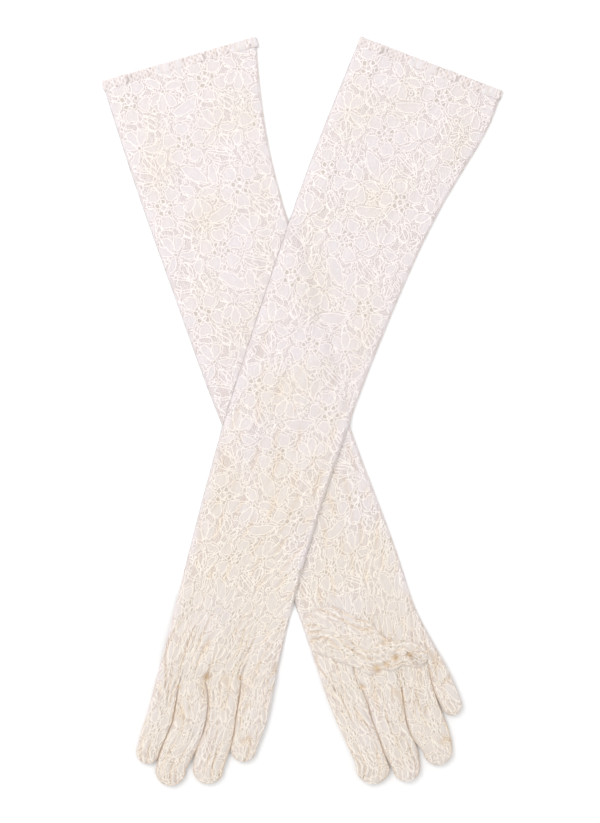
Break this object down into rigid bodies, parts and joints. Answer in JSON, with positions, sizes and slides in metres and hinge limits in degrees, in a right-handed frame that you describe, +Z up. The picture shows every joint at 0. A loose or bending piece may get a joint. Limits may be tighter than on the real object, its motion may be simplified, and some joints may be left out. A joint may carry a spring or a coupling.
{
  "type": "lace gloves",
  "caption": "Pair of opera-length stretch-lace gloves laid flat and crossed, with folding sleeves, wrists, fingers and thumbs and elastic hems.",
  "frame": {"origin": "on the table, under the middle of the two crossed gloves", "axes": "+Z up from the table, +Y towards the arm openings, fingertips towards -Y, +X towards the left glove's arm opening"},
  "size_m": [0.3123, 0.5835, 0.004],
  "materials": {
    "lace": "ivory floral stretch lace, matte with slightly lustrous cords",
    "hem_lace": "turned lace hem, matte",
    "seam_thread": "overlocked polyester thread",
    "hem_elastic": "covered elastic tape"
  },
  "bodies": {
    "right_forearm": {"right_forearm_back": "lace", "right_forearm_palm": "lace", "right_forearm_seam": "seam_thread"},
    "right_upper_sleeve": {"right_hem_back": "hem_lace", "right_hem_elastic": "hem_elastic", "right_hem_palm": "hem_lace", "right_upper_sleeve_back": "lace", "right_upper_sleeve_palm": "lace", "right_upper_sleeve_seam": "seam_thread"},
    "right_hand": {"right_hand_back": "lace", "right_hand_palm": "lace", "right_hand_seam": "seam_thread"},
    "right_thumb": {"right_thumb_back": "lace", "right_thumb_palm": "lace"},
    "right_index": {"right_index_back": "lace", "right_index_fourchette_outer": "lace", "right_index_palm": "lace"},
    "right_middle": {"right_middle_back": "lace", "right_middle_fourchette_inner": "lace", "right_middle_fourchette_outer": "lace", "right_middle_palm": "lace"},
    "right_ring": {"right_ring_back": "lace", "right_ring_fourchette_inner": "lace", "right_ring_fourchette_outer": "lace", "right_ring_palm": "lace"},
    "right_little": {"right_little_back": "lace", "right_little_fourchette_inner": "lace", "right_little_palm": "lace"},
    "left_forearm": {"left_forearm_back": "lace", "left_forearm_palm": "lace", "left_forearm_seam": "seam_thread"},
    "left_upper_sleeve": {"left_hem_back": "hem_lace", "left_hem_elastic": "hem_elastic", "left_hem_palm": "hem_lace", "left_upper_sleeve_back": "lace", "left_upper_sleeve_palm": "lace", "left_upper_sleeve_seam": "seam_thread"},
    "left_hand": {"left_hand_back": "lace", "left_hand_palm": "lace", "left_hand_seam": "seam_thread"},
    "left_thumb": {"left_thumb_back": "lace", "left_thumb_palm": "lace"},
    "left_index": {"left_index_back": "lace", "left_index_fourchette_outer": "lace", "left_index_palm": "lace"},
    "left_middle": {"left_middle_back": "lace", "left_middle_fourchette_inner": "lace", "left_middle_fourchette_outer": "lace", "left_middle_palm": "lace"},
    "left_ring": {"left_ring_back": "lace", "left_ring_fourchette_inner": "lace", "left_ring_fourchette_outer": "lace", "left_ring_palm": "lace"},
    "left_little": {"left_little_back": "lace", "left_little_fourchette_inner": "lace", "left_little_palm": "lace"}
  },
  "joints": [
    {"name": "right_elbow_fold", "type": "hinge", "parent": "right_forearm", "child": "right_upper_sleeve", "pos_m": [-0.072, 0.17, 0.0018], "axis": [0.9613, 0.2756, 0], "range_deg": [0, 150]},
    {"name": "right_wrist_fold", "type": "hinge", "parent": "right_forearm", "child": "right_hand", "pos_m": [0.037, -0.143, 0.0018], "axis": [-0.9304, -0.3665, 0], "range_deg": [0, 80]},
    {"name": "right_thumb_open", "type": "hinge", "parent": "right_hand", "child": "right_thumb", "pos_m": [0.00512, -0.17712, 0.00195], "axis": [0.2967, -0.955, 0], "range_deg": [0, 100]},
    {"name": "right_index_curl", "type": "hinge", "parent": "right_hand", "child": "right_index", "pos_m": [0.0315, -0.2145, 0.004], "axis": [-0.9357, -0.3527, 0], "range_deg": [0, 80]},
    {"name": "right_middle_curl", "type": "hinge", "parent": "right_hand", "child": "right_middle", "pos_m": [0.0615, -0.215, 0.004], "axis": [-0.956, -0.2935, 0], "range_deg": [0, 80]},
    {"name": "right_ring_curl", "type": "hinge", "parent": "right_hand", "child": "right_ring", "pos_m": [0.088, -0.2115, 0.004], "axis": [-0.9485, -0.3168, 0], "range_deg": [0, 80]},
    {"name": "right_little_curl", "type": "hinge", "parent": "right_hand", "child": "right_little", "pos_m": [0.1036, -0.196, 0.004], "axis": [-0.9329, -0.36, 0], "range_deg": [0, 80]},
    {"name": "left_glove_lift", "type": "slide", "parent": "right_forearm", "child": "left_forearm", "axis": [0, 0, 1], "range_m": [0, 0.25]},
    {"name": "left_elbow_fold", "type": "hinge", "parent": "left_forearm", "child": "left_upper_sleeve", "pos_m": [0.054, 0.164, 0.0039], "axis": [0.9063, -0.4226, 0], "range_deg": [0, 150]},
    {"name": "left_wrist_fold", "type": "hinge", "parent": "left_forearm", "child": "left_hand", "pos_m": [-0.05, -0.139, 0.0039], "axis": [-0.9636, 0.2672, 0], "range_deg": [0, 80]},
    {"name": "left_thumb_swing", "type": "hinge", "parent": "left_hand", "child": "left_thumb", "pos_m": [-0.084, -0.15, 0.0009], "axis": [0, 0, -1], "range_deg": [0, 80]},
    {"name": "left_index_curl", "type": "hinge", "parent": "left_hand", "child": "left_index", "pos_m": [-0.1045, -0.2135, 0.004], "axis": [-0.9573, 0.2892, 0], "range_deg": [0, 80]},
    {"name": "left_middle_curl", "type": "hinge", "parent": "left_hand", "child": "left_middle", "pos_m": [-0.0832, -0.214, 0.004], "axis": [-0.9623, 0.2719, 0], "range_deg": [0, 80]},
    {"name": "left_ring_curl", "type": "hinge", "parent": "left_hand", "child": "left_ring", "pos_m": [-0.0596, -0.213, 0.004], "axis": [-0.9834, 0.1815, 0], "range_deg": [0, 80]},
    {"name": "left_little_curl", "type": "hinge", "parent": "left_hand", "child": "left_little", "pos_m": [-0.0345, -0.2115, 0.004], "axis": [-0.9762, 0.2167, 0], "range_deg": [0, 80]}
  ]
}
